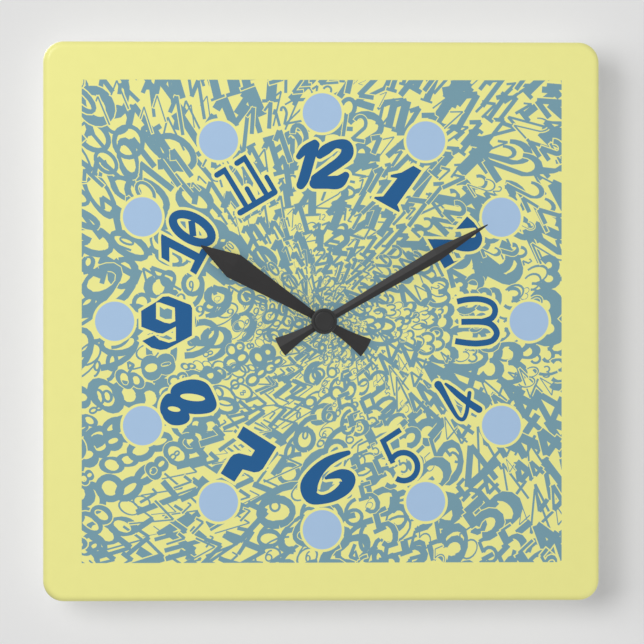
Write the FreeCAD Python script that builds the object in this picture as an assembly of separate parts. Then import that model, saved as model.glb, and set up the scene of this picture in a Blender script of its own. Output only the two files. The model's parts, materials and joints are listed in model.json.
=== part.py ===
import math
import os

from FreeCAD import Vector
import Part

# A square quartz wall clock, in millimetres. Seen from the front, +X is right, +Z is up and
# the dial faces -Y, so along Y every "front" value is lower than its "rear" value.
# Pieces are drawn about the hand shaft; save() then moves them all, so that the origin is the
# centre of the hanger hole on the wall plane.

# Face plate and print
PLATE_SIDE = 273.0
PLATE_THICKNESS = 4.8
PLATE_CORNER = 10.0
PLATE_FRONT_EDGE = 3.0
PLATE_REAR_EDGE = 0.5
PRINT_SIDE = 235.7
PRINT_THICKNESS = 0.1

# Movement case: one room for the wheels above, one bay for the battery below
CASE_HALF = 28.0
CASE_DEPTH = 16.0
CASE_WALL = 1.2
CASE_CORNER = 3.0
CASE_FRONT_CHAMFER = 0.8
FINGER_NOTCH_RADIUS = 9.0
ROOM_BOTTOM = -10.6
BAY_TOP = ROOM_BOTTOM - CASE_WALL
INNER_HALF = CASE_HALF - CASE_WALL
ROOM_FRONT = -CASE_DEPTH + CASE_WALL
BAY_FRONT = -15.2
COVER_THICKNESS = 2.0
COVER_LIP = 0.8
LIP_PLAY = 0.2
LIP_DEPTH = 1.0
LABEL_LEFT, LABEL_RIGHT = -22.0, 4.0
LABEL_BOTTOM, LABEL_TOP = 6.0, 22.0
LABEL_DEPTH = 0.4
LABEL_CORNER = 1.5

# Hanger eye on the rear cover: a keyhole that takes a screw head
HANGER_RISE = CASE_HALF + 5.0
HANGER_RADIUS = 4.0
HANGER_SLOT = 4.0
HANGER_SLOT_TOP = 5.0
HANGER_RIM = 3.2
TAB_OVERLAP = 1.0

# Threaded bushing and its hardware
BUSHING_RADIUS = 3.5
BUSHING_BORE = 2.55
BUSHING_FRONT = -25.0
FLANGE_RADIUS = 5.2
FLANGE_THICKNESS = 0.6
THREAD_PITCH = 0.75
THREAD_DEPTH = 0.3
PLATE_HOLE = 3.8
RUBBER_THICKNESS = 1.0
RUBBER_RADIUS = 14.0
WASHER_THICKNESS = 0.5
WASHER_RADIUS = 5.0
NUT_ACROSS_FLATS = 9.4
NUT_THICKNESS = 2.0
NUT_CHAMFER = 0.5

PLATE_REAR = -CASE_DEPTH - RUBBER_THICKNESS
PLATE_FRONT = PLATE_REAR - PLATE_THICKNESS
WASHER_FRONT = PLATE_FRONT - WASHER_THICKNESS

# Layers of the train along Y, each as (front, rear)
HOUR_LAYER = (-14.4, -13.5)
WORKS_LAYER = (-13.1, -12.3)
BRIDGE_LAYER = (-11.9, -10.9)
CENTRE_LAYER = (-10.5, -9.7)
THIRD_LAYER = (-8.9, -8.1)
SECOND_LAYER = (-7.3, -6.5)
INTER_LAYER = (-5.6, -4.8)
STATOR_LAYER = (-9.4, -8.4)
CORE_LAYER = (-8.4, -7.4)
MAGNET_LAYER = (-9.9, -7.9)
BOARD_LAYER = (-4.6, -3.6)
PINION_OVERHANG = 0.2

# Front bearing plate, as (x, z) points, and the pillars that stand on the case floor
BRIDGE_OUTLINE = ((-9.6, -9.6), (22.6, -9.6), (22.6, 4.5), (13.5, 16.5), (4.0, 18.4),
                  (-14.2, 18.4), (-14.2, 8.5), (-9.6, 2.0))
BRIDGE_CORNER = 1.2
BRIDGE_PILLARS = ((-7.4, -7.4), (-12.4, 10.6), (12.0, 12.0), (20.5, -7.2))
BRIDGE_PILLAR_RADIUS = 1.6
BRIDGE_PIN_RADIUS = 0.7
BRIDGE_PIN_RISE = 0.3
STATOR_PILLARS = ((-15.8, -6.2), (-15.8, 19.2))
SLIM_PILLAR_RADIUS = 1.2

# Tooth counts and modules
CENTRE_TEETH, THIRD_PINION_TEETH, CENTRE_MODULE = 64, 8, 0.3
THIRD_TEETH, SECOND_PINION_TEETH = 60, 8
SECOND_TEETH, INTER_PINION_TEETH, SECOND_MODULE = 60, 10, 0.31
INTER_TEETH, ROTOR_PINION_TEETH, INTER_MODULE = 50, 10, 0.28
WORKS_TEETH, CANNON_TEETH, SETTING_TEETH, WORKS_MODULE = 36, 12, 12, 0.4
HOUR_TEETH, WORKS_PINION_TEETH = 40, 10

# Slim straight-sided teeth with generous backlash: sizes in modules, widths in pitches
ADDENDUM = 0.85
DEDENDUM = 1.2
ROOT_WIDTH = 0.6
TIP_WIDTH = 0.2

# Openings in the wheel webs, as (distance from the centre, radius)
CENTRE_WEB = (5.4, 2.2)
THIRD_WEB = (5.2, 2.2)
SECOND_WEB = (5.2, 2.2)
INTER_WEB = (4.2, 1.5)

# Arbors, pivots and tubes; each turning fit has 0.05 to 0.10 mm of radial play
PIVOT_RADIUS = 0.5
PIVOT_PLAY = 0.05
POST_RADIUS = 0.8
SETTING_SHAFT_RADIUS = 1.4
MINUTE_BORE = 0.6
MINUTE_RADIUS = 1.5
MINUTE_HUB_RADIUS = 2.0
MINUTE_SEAT_RADIUS = 1.7
HOUR_BORE = 1.55
HOUR_RADIUS = 2.5
ARBOR_FRONT = BRIDGE_LAYER[0] + 0.1
ARBOR_REAR = -2.3
BOSS_RADIUS = 1.7
BOSS_FRONT = -3.2
SOCKET_REAR = -2.2
POST_SOCKET_FRONT = -15.6
POST_FRONT = -15.5

# Hands: the hour hand's rear is just in front of the bushing
HOUR_HAND_REAR = -25.5
MINUTE_HAND_REAR = -28.2
HOUR_TUBE_FRONT = -27.2
MINUTE_TUBE_FRONT = -30.1
SECOND_ARBOR_FRONT = -28.0
MINUTE_BORE_FRONT = -28.6
HOUR_HAND_ANGLE = 301.6
MINUTE_HAND_ANGLE = 59.65
TAIL_RADIUS = 25.2
HOUR_HAND_STATIONS = ((0.0, 3.9), (7.0, 3.9), (51.5, 12.7), (70.3, 0.7))
MINUTE_HAND_STATIONS = ((0.0, 4.1), (12.0, 4.1), (64.5, 6.5), (93.4, 0.5))
TAIL_STATIONS = ((-27.0, 10.9), (-24.0, 9.6), (-20.0, 7.8), (-16.0, 6.3), (-12.0, 5.1), (-8.0, 4.4),
                 (0.0, 4.0))
HAND_EDGE = 0.6
HOUR_RIDGE_SLOPE = 0.1
MINUTE_RIDGE_SLOPE = 0.22
HAND_HUB_RADIUS = 4.4
HAND_HUB_THICKNESS = 1.4
CAP_RADIUS = 6.3
CAP_THICKNESS = 2.6
CAP_CHAMFER = 1.0

# Setting knob
KNOB_RADIUS = 5.5
KNOB_FRONT = -1.9
KNOB_REAR = -0.4
KNOB_OPENING = 6.2
KNOB_SCALLOPS = 24
SCALLOP_RADIUS = 0.45
KNOB_DISH_RADIUS = 3.6
KNOB_DISH_DEPTH = 0.5
SETTING_SHAFT_REAR = -1.2

# AA cell, lying along X
CELL_LENGTH = 50.5
CELL_RADIUS = 7.25
CELL_EDGE = 0.6
SLEEVE_THICKNESS = 0.1
SLEEVE_MARGIN = 0.7
NUB_RADIUS = 2.75
NUB_LENGTH = 1.2
NUB_ROOT = 0.2
NUB_EDGE = 0.4
CELL_LEFT = -24.4
CELL_Y = -7.75
CELL_Z = (BAY_TOP - INNER_HALF) / 2

# Battery contacts: an end plate, a strip up to the board, and a conical spring on the negative one
CONTACT_THICKNESS = 0.3
CONTACT_INSET = 0.1
CONTACT_FRONT, CONTACT_REAR = -12.5, -3.5
CONTACT_HALF_HEIGHT = 5.0
CONTACT_STRIP = (-6.0, -4.0)
STRIP_OVERLAP = 1.0
SPRING_WIRE_RADIUS = 0.3
SPRING_TURNS = 3
SPRING_BASE, SPRING_TIP = 4.4, 1.7
SPRING_RISE = 1.3

# Coil, stator and board
COIL_X = -21.5
COIL_BOTTOM, COIL_TOP = -4.3, 17.3
COIL_FLANGE = 0.8
COIL_FLANGE_RADIUS = 3.9
COIL_TUBE_RADIUS = 2.3
COIL_PLAY = 0.2
COIL_Y = sum(CORE_LAYER) / 2
WINDING_RADIUS = 3.5
CORE_WIDTH = 3.0
STATOR_RIGHT = -11.5
STATOR_BAR = 4.0
STATOR_LEG = 3.0
STATOR_RING = 4.8
STATOR_HOLE = 3.2
MAGNET_RADIUS = 2.7
BOARD_HALF = 26.4
BOARD_BOTTOM, BOARD_TOP = 21.2, 26.4
BOARD_Z = (BOARD_BOTTOM + BOARD_TOP) / 2
BOARD_PILLARS = ((-20.0, BOARD_Z), (0.0, BOARD_Z), (20.0, BOARD_Z))
CHIP_X = -9.0
CHIP_RADIUS = 2.2
CHIP_HEIGHT = 1.2
CRYSTAL_LEFT = 5.0
CRYSTAL_RADIUS = 1.0
CRYSTAL_LENGTH = 6.0

SHAPES = {}


# ---------------------------------------------------------------- basic solids

def disc(centre, radius, front, rear):
    """Cylinder along Y about the point (x, z)."""
    return Part.makeCylinder(radius, rear - front, Vector(centre[0], front, centre[1]), Vector(0, 1, 0))


def ring(centre, outer, inner, front, rear):
    return disc(centre, outer, front, rear).cut(disc(centre, inner, front, rear))


def block(left, right, front, rear, bottom, top):
    return Part.makeBox(right - left, rear - front, top - bottom, Vector(left, front, bottom))


def slab(outline, front, rear):
    """Flat plate along Y with an outline of (x, z) points."""
    corners = [Vector(x, front, z) for x, z in outline]
    return Part.Face(Part.makePolygon(corners + corners[:1])).extrude(Vector(0, rear - front, 0))


def edges_along_y(shape):
    return [e for e in shape.Edges if abs(e.tangentAt(e.FirstParameter).y) > 0.999]


def edges_at_y(shape, y):
    return [e for e in shape.Edges if abs(e.BoundBox.YMin - y) < 1e-6 and abs(e.BoundBox.YMax - y) < 1e-6]


def polar(centre, distance, degrees):
    angle = math.radians(degrees)
    return (centre[0] + distance * math.cos(angle), centre[1] + distance * math.sin(angle))


def bearing(start, end):
    """Direction from one (x, z) point to another, in radians."""
    return math.atan2(end[1] - start[1], end[0] - start[0])


def save(node, shape):
    """Move a piece from the shaft's frame to the clock's own frame, and keep it."""
    placed = shape.removeSplitter()
    placed.translate(Vector(0, 0, -HANGER_RISE))
    SHAPES[node] = placed


# ---------------------------------------------------------------- gears

def pair_distance(module, teeth, other_teeth):
    return module * (teeth + other_teeth) / 2


CENTRE = (0.0, 0.0)
THIRD_DISTANCE = pair_distance(CENTRE_MODULE, CENTRE_TEETH, THIRD_PINION_TEETH)
THIRD_MODULE = 2 * THIRD_DISTANCE / (THIRD_TEETH + SECOND_PINION_TEETH)
WORKS_DISTANCE = pair_distance(WORKS_MODULE, WORKS_TEETH, CANNON_TEETH)
HOUR_MODULE = 2 * WORKS_DISTANCE / (HOUR_TEETH + WORKS_PINION_TEETH)
THIRD = polar(CENTRE, THIRD_DISTANCE, 60)
INTER = polar(CENTRE, pair_distance(SECOND_MODULE, SECOND_TEETH, INTER_PINION_TEETH), 130)
ROTOR = polar(INTER, pair_distance(INTER_MODULE, INTER_TEETH, ROTOR_PINION_TEETH), 120)
WORKS = polar(CENTRE, WORKS_DISTANCE, -10)
SETTING = polar(WORKS, WORKS_DISTANCE, 10)


def gear(centre, teeth, module, phase, front, rear):
    """Toothed disc with one tooth centred on the phase angle, in radians."""
    pitch = 2 * math.pi / teeth
    root = module * (teeth / 2 - DEDENDUM)
    tip = module * (teeth / 2 + ADDENDUM)
    tooth = ((root, -ROOT_WIDTH), (tip, -TIP_WIDTH), (tip, TIP_WIDTH), (root, ROOT_WIDTH))
    outline = []
    for index in range(teeth):
        for radius, width in tooth:
            angle = phase + (index + width / 2) * pitch
            outline.append((centre[0] + radius * math.cos(angle), centre[1] + radius * math.sin(angle)))
    return slab(outline, front, rear)


def meshing_phase(start, teeth, end, other_teeth, phase=0.0):
    """Phase of the gear at end whose gaps take the teeth of the gear at start."""
    line = bearing(start, end)
    return line + math.pi - math.pi / other_teeth + teeth / other_teeth * (line - phase)


def web_holes(centre, radius, hole, front, rear):
    """Four round openings that lighten a wheel's web."""
    holes = [disc(polar(centre, radius, 45 + 90 * turn), hole, front, rear) for turn in range(4)]
    return holes[0].multiFuse(holes[1:])


def wheel_and_pinion(centre, wheel, pinion, layer, pinion_front, web):
    """One moulding: wheel, pinion in front of it and an arbor with a pivot at each end.

    wheel and pinion are (teeth, module, phase); web is (radius, hole radius) of the openings.
    """
    body = gear(centre, *wheel, *layer)
    body = body.cut(web_holes(centre, *web, *layer))
    body = body.fuse(gear(centre, *pinion, pinion_front, layer[0]))
    return body.fuse(disc(centre, PIVOT_RADIUS, ARBOR_FRONT, ARBOR_REAR))


# ---------------------------------------------------------------- plate and hardware

def face_plate():
    half = PLATE_SIDE / 2
    plate = block(-half, half, PLATE_FRONT, PLATE_REAR, -half, half)
    plate = plate.makeFillet(PLATE_CORNER, edges_along_y(plate))
    plate = plate.makeFillet(PLATE_FRONT_EDGE, edges_at_y(plate, PLATE_FRONT))
    plate = plate.makeFillet(PLATE_REAR_EDGE, edges_at_y(plate, PLATE_REAR))
    save("face_plate", plate.cut(disc(CENTRE, PLATE_HOLE, PLATE_FRONT, PLATE_REAR)))


def dial_print():
    half = PRINT_SIDE / 2
    front = PLATE_FRONT - PRINT_THICKNESS
    sheet = block(-half, half, front, PLATE_FRONT, -half, half)
    save("dial_print", sheet.cut(disc(CENTRE, WASHER_RADIUS, front, PLATE_FRONT)))


def washers():
    save("rubber_washer", ring(CENTRE, RUBBER_RADIUS, PLATE_HOLE, PLATE_REAR, -CASE_DEPTH))
    save("brass_washer", ring(CENTRE, WASHER_RADIUS, BUSHING_RADIUS, WASHER_FRONT, PLATE_FRONT))


def hex_nut():
    corner = NUT_ACROSS_FLATS / math.sqrt(3)
    front = WASHER_FRONT - NUT_THICKNESS
    hexagon = slab([polar(CENTRE, corner, 60 * side) for side in range(6)], front, WASHER_FRONT)
    rounding = disc(CENTRE, corner, front, WASHER_FRONT)
    rounding = rounding.makeChamfer(NUT_CHAMFER, edges_at_y(rounding, front))
    save("hex_nut", hexagon.common(rounding).cut(disc(CENTRE, BUSHING_RADIUS, front, WASHER_FRONT)))


# ---------------------------------------------------------------- movement housing

def pillars():
    pin_rear = BRIDGE_LAYER[1] + BRIDGE_PIN_RISE
    posts = [disc(p, BRIDGE_PILLAR_RADIUS, ROOM_FRONT, BRIDGE_LAYER[0]) for p in BRIDGE_PILLARS]
    posts += [disc(p, BRIDGE_PIN_RADIUS, ROOM_FRONT, pin_rear) for p in BRIDGE_PILLARS]
    posts += [disc(p, SLIM_PILLAR_RADIUS, ROOM_FRONT, BOARD_LAYER[0]) for p in BOARD_PILLARS]
    posts += [disc(p, SLIM_PILLAR_RADIUS, ROOM_FRONT, STATOR_LAYER[0]) for p in STATOR_PILLARS]
    return posts


def threaded_bushing():
    """Tube through the plate, with a flange sunk in the case floor; its thread is drawn as plain grooves."""
    tube = disc(CENTRE, BUSHING_RADIUS, BUSHING_FRONT, ROOM_FRONT)
    tube = tube.fuse(disc(CENTRE, FLANGE_RADIUS, ROOM_FRONT - FLANGE_THICKNESS, ROOM_FRONT))
    groove_front = BUSHING_FRONT + THREAD_PITCH / 2
    while groove_front < -CASE_DEPTH - THREAD_PITCH:
        groove_rear = groove_front + THREAD_PITCH / 2
        tube = tube.cut(ring(CENTRE, CASE_HALF, BUSHING_RADIUS - THREAD_DEPTH, groove_front, groove_rear))
        groove_front += THREAD_PITCH
    save("threaded_bushing", tube.cut(disc(CENTRE, BUSHING_BORE, BUSHING_FRONT, ROOM_FRONT)))


def contact_slots():
    """Slots in the wall between bay and room, where the two contact strips pass."""
    front, rear = CONTACT_STRIP
    reach = CASE_WALL
    return [
        block(side * INNER_HALF - reach * (side > 0), side * INNER_HALF + reach * (side < 0),
              front - LIP_PLAY, rear + LIP_PLAY, BAY_TOP, ROOM_BOTTOM)
        for side in (-1, 1)
    ]


def movement_case():
    case = block(-CASE_HALF, CASE_HALF, -CASE_DEPTH, 0, -CASE_HALF, CASE_HALF)
    case = case.makeFillet(CASE_CORNER, edges_along_y(case))
    case = case.makeChamfer(CASE_FRONT_CHAMFER, edges_at_y(case, -CASE_DEPTH))
    room = block(-INNER_HALF, INNER_HALF, ROOM_FRONT, 0, ROOM_BOTTOM, INNER_HALF)
    bay = block(-INNER_HALF, INNER_HALF, BAY_FRONT, 0, -INNER_HALF, BAY_TOP)
    cover_seat = block(-CASE_HALF, CASE_HALF, -COVER_THICKNESS, 0, BAY_TOP, CASE_HALF)
    finger_notch = disc((0.0, -CASE_HALF), FINGER_NOTCH_RADIUS, -FINGER_NOTCH_RADIUS, 0).common(
        block(-CASE_HALF, CASE_HALF, -FINGER_NOTCH_RADIUS, 0, -CASE_HALF, -INNER_HALF))
    for space in [room, bay, cover_seat, finger_notch] + contact_slots():
        case = case.cut(space)
    case = case.fuse(pillars())
    case = case.cut(disc(CENTRE, BUSHING_RADIUS, -CASE_DEPTH, ROOM_FRONT))
    case = case.cut(disc(CENTRE, FLANGE_RADIUS, ROOM_FRONT - FLANGE_THICKNESS, ROOM_FRONT))
    for socket in (WORKS, SETTING):
        case = case.cut(disc(socket, POST_RADIUS + PIVOT_PLAY, POST_SOCKET_FRONT, ROOM_FRONT))
    save("movement_case", case)


def hanger_tab():
    """Tab above the cover with a keyhole: a round entry and a slot that drops on the screw."""
    slot_end = HANGER_RISE + HANGER_SLOT_TOP
    rim = HANGER_RADIUS + HANGER_RIM
    tab = block(-rim, rim, -COVER_THICKNESS, 0, CASE_HALF - TAB_OVERLAP, HANGER_RISE)
    tab = tab.fuse(disc((0, HANGER_RISE), rim, -COVER_THICKNESS, 0))
    tab = tab.fuse(disc((0, slot_end), HANGER_SLOT / 2 + HANGER_RIM, -COVER_THICKNESS, 0))
    tab = tab.cut(disc((0, HANGER_RISE), HANGER_RADIUS, -COVER_THICKNESS, 0))
    half = HANGER_SLOT / 2
    tab = tab.cut(block(-half, half, -COVER_THICKNESS, 0, HANGER_RISE, slot_end))
    return tab.cut(disc((0, slot_end), half, -COVER_THICKNESS, 0))


def cover_lip():
    """Frame behind the cover that locates it inside the case walls."""
    half = INNER_HALF - LIP_PLAY
    bottom = ROOM_BOTTOM + LIP_PLAY
    front = -COVER_THICKNESS - LIP_DEPTH
    outer = block(-half, half, front, -COVER_THICKNESS, bottom, half)
    inner = block(-half + COVER_LIP, half - COVER_LIP, front, -COVER_THICKNESS,
                  bottom + COVER_LIP, half - COVER_LIP)
    return outer.cut(inner)


def rear_cover():
    cover = block(-CASE_HALF, CASE_HALF, -COVER_THICKNESS, 0, BAY_TOP, CASE_HALF)
    top_corners = [e for e in edges_along_y(cover) if e.BoundBox.ZMin > 0]
    cover = cover.makeFillet(CASE_CORNER, top_corners)
    bosses = [disc(p, BOSS_RADIUS, BOSS_FRONT, -COVER_THICKNESS) for p in (CENTRE, THIRD, INTER, ROTOR)]
    cover = cover.fuse([hanger_tab(), cover_lip()] + bosses)
    for pivot in (CENTRE, THIRD, INTER, ROTOR):
        cover = cover.cut(disc(pivot, PIVOT_RADIUS + PIVOT_PLAY, BOSS_FRONT, SOCKET_REAR))
    cover = cover.cut(disc(SETTING, KNOB_OPENING, -COVER_THICKNESS, 0))
    label_recess = block(LABEL_LEFT, LABEL_RIGHT, -LABEL_DEPTH, 0, LABEL_BOTTOM, LABEL_TOP)
    label_recess = label_recess.makeFillet(LABEL_CORNER, edges_along_y(label_recess))
    save("rear_cover", cover.cut(label_recess))


def train_bridge():
    """Plate between the hour train and the going train; its holes are the front bearings."""
    bridge = slab(BRIDGE_OUTLINE, *BRIDGE_LAYER)
    bridge = bridge.makeFillet(BRIDGE_CORNER, edges_along_y(bridge))
    holes = [(p, BRIDGE_PIN_RADIUS) for p in BRIDGE_PILLARS]
    holes += [(p, PIVOT_RADIUS + PIVOT_PLAY) for p in (THIRD, INTER, ROTOR)]
    holes += [(CENTRE, MINUTE_HUB_RADIUS + PIVOT_PLAY)]
    holes += [(WORKS, POST_RADIUS + PIVOT_PLAY)]
    holes += [(SETTING, SETTING_SHAFT_RADIUS + PIVOT_PLAY)]
    for centre, radius in holes:
        bridge = bridge.cut(disc(centre, radius, *BRIDGE_LAYER))
    save("train_bridge", bridge)


# ---------------------------------------------------------------- going train

def centre_wheel():
    wheel = gear(CENTRE, CENTRE_TEETH, CENTRE_MODULE, 0.0, *CENTRE_LAYER)
    wheel = wheel.cut(web_holes(CENTRE, *CENTRE_WEB, *CENTRE_LAYER))
    save("centre_wheel", wheel.cut(disc(CENTRE, MINUTE_SEAT_RADIUS, *CENTRE_LAYER)))


def third_wheel():
    pinion_phase = meshing_phase(CENTRE, CENTRE_TEETH, THIRD, THIRD_PINION_TEETH)
    save("third_wheel", wheel_and_pinion(
        THIRD, (THIRD_TEETH, THIRD_MODULE, 0.0), (THIRD_PINION_TEETH, CENTRE_MODULE, pinion_phase),
        THIRD_LAYER, CENTRE_LAYER[0] - PINION_OVERHANG, THIRD_WEB))


def second_wheel():
    """The second wheel turns on a long steel arbor that runs inside the minute shaft."""
    pinion_phase = meshing_phase(THIRD, THIRD_TEETH, CENTRE, SECOND_PINION_TEETH)
    wheel = gear(CENTRE, SECOND_TEETH, SECOND_MODULE, 0.0, *SECOND_LAYER)
    wheel = wheel.cut(web_holes(CENTRE, *SECOND_WEB, *SECOND_LAYER))
    pinion_front = THIRD_LAYER[0] - PINION_OVERHANG
    wheel = wheel.fuse(gear(CENTRE, SECOND_PINION_TEETH, THIRD_MODULE, pinion_phase,
                            pinion_front, SECOND_LAYER[0]))
    save("second_wheel", wheel.cut(disc(CENTRE, PIVOT_RADIUS, pinion_front, SECOND_LAYER[1])))
    save("second_arbor", disc(CENTRE, PIVOT_RADIUS, SECOND_ARBOR_FRONT, ARBOR_REAR))


def intermediate_wheel():
    pinion_phase = meshing_phase(CENTRE, SECOND_TEETH, INTER, INTER_PINION_TEETH)
    save("intermediate_wheel", wheel_and_pinion(
        INTER, (INTER_TEETH, INTER_MODULE, 0.0), (INTER_PINION_TEETH, SECOND_MODULE, pinion_phase),
        INTER_LAYER, SECOND_LAYER[0] - PINION_OVERHANG, INTER_WEB))


def rotor():
    pinion_phase = meshing_phase(INTER, INTER_TEETH, ROTOR, ROTOR_PINION_TEETH)
    pinion = gear(ROTOR, ROTOR_PINION_TEETH, INTER_MODULE, pinion_phase,
                  INTER_LAYER[0] - PINION_OVERHANG, INTER_LAYER[1] + PINION_OVERHANG)
    save("rotor_pinion", pinion.fuse(disc(ROTOR, PIVOT_RADIUS, ARBOR_FRONT, ARBOR_REAR)))
    save("rotor_magnet", ring(ROTOR, MAGNET_RADIUS, PIVOT_RADIUS, *MAGNET_LAYER))


# ---------------------------------------------------------------- hour train and setting

WORKS_PHASE = meshing_phase(CENTRE, CANNON_TEETH, WORKS, WORKS_TEETH)


def minute_shaft():
    """Cannon pinion and the tube that carries the minute hand and the hub cap."""
    pinion_front = WORKS_LAYER[0] - PINION_OVERHANG / 2
    pinion_rear = WORKS_LAYER[1] + PINION_OVERHANG
    shaft = gear(CENTRE, CANNON_TEETH, WORKS_MODULE, 0.0, pinion_front, pinion_rear)
    shaft = shaft.fuse([
        disc(CENTRE, MINUTE_RADIUS, MINUTE_TUBE_FRONT, pinion_front),
        disc(CENTRE, MINUTE_HUB_RADIUS, pinion_rear, CENTRE_LAYER[0]),
        disc(CENTRE, MINUTE_SEAT_RADIUS, *CENTRE_LAYER),
    ])
    save("minute_shaft", shaft.cut(disc(CENTRE, MINUTE_BORE, MINUTE_BORE_FRONT, CENTRE_LAYER[1])))


def minute_works_wheel():
    wheel = gear(WORKS, WORKS_TEETH, WORKS_MODULE, WORKS_PHASE, *WORKS_LAYER)
    pinion = gear(WORKS, WORKS_PINION_TEETH, HOUR_MODULE, 0.0, HOUR_LAYER[0], WORKS_LAYER[0])
    posts = disc(WORKS, POST_RADIUS, POST_FRONT, BRIDGE_LAYER[1])
    save("minute_works_wheel", wheel.fuse([pinion, posts]))


def hour_wheel():
    phase = meshing_phase(WORKS, WORKS_PINION_TEETH, CENTRE, HOUR_TEETH)
    wheel = gear(CENTRE, HOUR_TEETH, HOUR_MODULE, phase, *HOUR_LAYER)
    wheel = wheel.fuse(disc(CENTRE, HOUR_RADIUS, HOUR_TUBE_FRONT, HOUR_LAYER[0]))
    save("hour_wheel", wheel.cut(disc(CENTRE, HOUR_BORE, HOUR_TUBE_FRONT, HOUR_LAYER[1])))


def setting_stem():
    phase = meshing_phase(WORKS, WORKS_TEETH, SETTING, SETTING_TEETH, WORKS_PHASE)
    pinion_front = WORKS_LAYER[0] - PINION_OVERHANG
    pinion_rear = WORKS_LAYER[1] + PINION_OVERHANG
    stem = gear(SETTING, SETTING_TEETH, WORKS_MODULE, phase, pinion_front, pinion_rear)
    stem = stem.fuse([
        disc(SETTING, POST_RADIUS, POST_FRONT, pinion_front),
        disc(SETTING, SETTING_SHAFT_RADIUS, pinion_rear, SETTING_SHAFT_REAR),
    ])
    save("setting_shaft", stem)
    knob = disc(SETTING, KNOB_RADIUS, KNOB_FRONT, KNOB_REAR)
    for index in range(KNOB_SCALLOPS):
        place = polar(SETTING, KNOB_RADIUS, index * 360 / KNOB_SCALLOPS)
        knob = knob.cut(disc(place, SCALLOP_RADIUS, KNOB_FRONT, KNOB_REAR))
    knob = knob.cut(disc(SETTING, KNOB_DISH_RADIUS, KNOB_REAR - KNOB_DISH_DEPTH, KNOB_REAR))
    save("setting_knob", knob.cut(disc(SETTING, SETTING_SHAFT_RADIUS, KNOB_FRONT, SETTING_SHAFT_REAR)))


# ---------------------------------------------------------------- motor and board

def stator():
    left = COIL_X - CORE_WIDTH / 2
    bottom, top = COIL_BOTTOM - COIL_PLAY - STATOR_LEG, COIL_TOP + COIL_PLAY + STATOR_LEG
    bar = block(STATOR_RIGHT - STATOR_BAR, STATOR_RIGHT, *STATOR_LAYER, bottom, top)
    legs = [block(left, STATOR_RIGHT, *STATOR_LAYER, low, low + STATOR_LEG)
            for low in (bottom, top - STATOR_LEG)]
    plate = bar.fuse(legs + [disc(ROTOR, STATOR_RING, *STATOR_LAYER)])
    save("stator", plate.cut(disc(ROTOR, STATOR_HOLE, *STATOR_LAYER)))
    save("coil_core", block(left, left + CORE_WIDTH, *CORE_LAYER, bottom, top))


def upright(radius, bottom, top):
    """Cylinder along Z on the coil's axis."""
    return Part.makeCylinder(radius, top - bottom, Vector(COIL_X, COIL_Y, bottom), Vector(0, 0, 1))


def coil():
    low, high = COIL_BOTTOM + COIL_FLANGE, COIL_TOP - COIL_FLANGE
    bobbin = upright(COIL_TUBE_RADIUS, COIL_BOTTOM, COIL_TOP)
    bobbin = bobbin.fuse([upright(COIL_FLANGE_RADIUS, COIL_BOTTOM, low),
                          upright(COIL_FLANGE_RADIUS, high, COIL_TOP)])
    half = CORE_WIDTH / 2
    save("coil_bobbin", bobbin.cut(block(COIL_X - half, COIL_X + half, *CORE_LAYER, COIL_BOTTOM, COIL_TOP)))
    save("coil_winding", upright(WINDING_RADIUS, low, high).cut(upright(COIL_TUBE_RADIUS, low, high)))


def circuit_board():
    save("circuit_board", block(-BOARD_HALF, BOARD_HALF, *BOARD_LAYER, BOARD_BOTTOM, BOARD_TOP))
    drop_front = BOARD_LAYER[0] - CHIP_HEIGHT
    ball_radius = (CHIP_RADIUS ** 2 + CHIP_HEIGHT ** 2) / (2 * CHIP_HEIGHT)
    drop = Part.makeSphere(ball_radius, Vector(CHIP_X, drop_front + ball_radius, BOARD_Z))
    front_space = block(-BOARD_HALF, 0, drop_front, BOARD_LAYER[0], 0, CASE_HALF)
    save("timing_chip", drop.common(front_space))
    can_start = Vector(CRYSTAL_LEFT, BOARD_LAYER[0] - CRYSTAL_RADIUS, BOARD_Z)
    save("quartz_crystal", Part.makeCylinder(CRYSTAL_RADIUS, CRYSTAL_LENGTH, can_start, Vector(1, 0, 0)))


# ---------------------------------------------------------------- battery and contacts

def along_x(radius, left, right):
    """Cylinder on the battery's axis."""
    return Part.makeCylinder(radius, right - left, Vector(left, CELL_Y, CELL_Z), Vector(1, 0, 0))


def battery():
    right = CELL_LEFT + CELL_LENGTH
    shoulder = right - NUB_LENGTH
    can = along_x(CELL_RADIUS - SLEEVE_THICKNESS, CELL_LEFT, shoulder)
    can = can.makeFillet(CELL_EDGE, [e for e in can.Edges if e.Closed])
    nub = along_x(NUB_RADIUS, shoulder - NUB_ROOT, right)
    nub = nub.makeFillet(NUB_EDGE, [e for e in nub.Edges if abs(e.BoundBox.XMin - right) < 1e-6])
    save("battery_can", can.fuse(nub))
    sleeve_left, sleeve_right = CELL_LEFT + SLEEVE_MARGIN, shoulder - SLEEVE_MARGIN
    sleeve = along_x(CELL_RADIUS, sleeve_left, sleeve_right)
    save("battery_sleeve", sleeve.cut(along_x(CELL_RADIUS - SLEEVE_THICKNESS, sleeve_left, sleeve_right)))


def contact(side):
    """End plate in the bay with a strip that runs up the case wall to the board."""
    outer = side * (INNER_HALF - CONTACT_INSET)
    inner = outer - side * CONTACT_THICKNESS
    left, right = min(outer, inner), max(outer, inner)
    plate_bottom, plate_top = CELL_Z - CONTACT_HALF_HEIGHT, CELL_Z + CONTACT_HALF_HEIGHT
    plate = block(left, right, CONTACT_FRONT, CONTACT_REAR, plate_bottom, plate_top)
    return plate.fuse(block(left, right, *CONTACT_STRIP, plate_top - STRIP_OVERLAP, BOARD_Z))


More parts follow.
